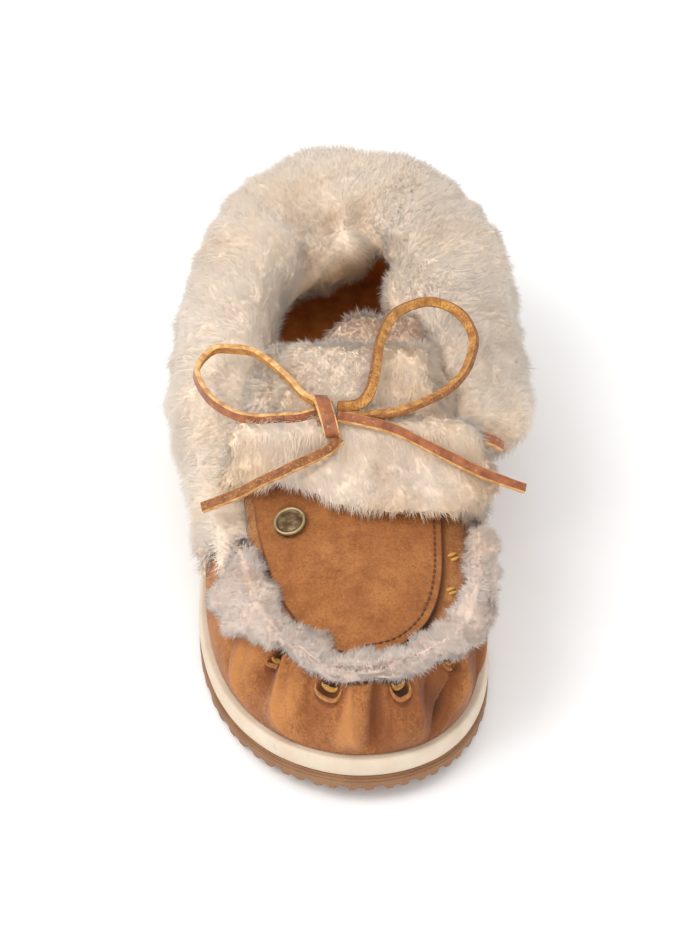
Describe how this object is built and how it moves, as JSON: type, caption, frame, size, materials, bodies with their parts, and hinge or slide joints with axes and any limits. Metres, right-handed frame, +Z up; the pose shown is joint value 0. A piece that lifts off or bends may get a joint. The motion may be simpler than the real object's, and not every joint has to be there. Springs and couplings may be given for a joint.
{
  "type": "sheepskin slipper",
  "caption": "Moccasin slipper for the right foot in tan suede, with a folded shearling cuff and tongue, a leather thong bow and a gum rubber sole",
  "frame": {"origin": "On the floor, under the middle of the slipper's box, which is measured without the lace that lies free", "axes": "+Z up, the toe points along -Y and the heel along +Y, the lateral side is at -X and the medial side at +X"},
  "size_m": [0.1289, 0.2688, 0.0913],
  "materials": {
    "gum_rubber": "matte brown gum rubber",
    "cream_foam": "matte cream foam",
    "insole_wool": "short wool pile",
    "suede": "tan suede with a short nap",
    "plug_suede": "tan suede with a short nap",
    "panel_suede": "tan suede with a short nap",
    "seam_wool": "cut shearling locks",
    "tongue_wool": "deep cream shearling",
    "cuff_wool": "deep cream shearling",
    "antique_brass": "dull antique brass",
    "thong_leather": "red brown rawhide thong"
  },
  "bodies": {
    "root": {"outsole": "gum_rubber", "midsole": "cream_foam", "insole": "insole_wool", "upper": "suede", "plug": "plug_suede", "apron_panel": "panel_suede", "seam_wool": "seam_wool", "tongue": "tongue_wool", "cuff": "cuff_wool", "badge": "antique_brass", "lace_bar": "thong_leather", "lace_knot": "thong_leather", "lace_loop_left": "thong_leather", "lace_loop_right": "thong_leather", "lace_tail_left": "thong_leather", "lace_tail_right": "thong_leather"}
  },
  "joints": []
}
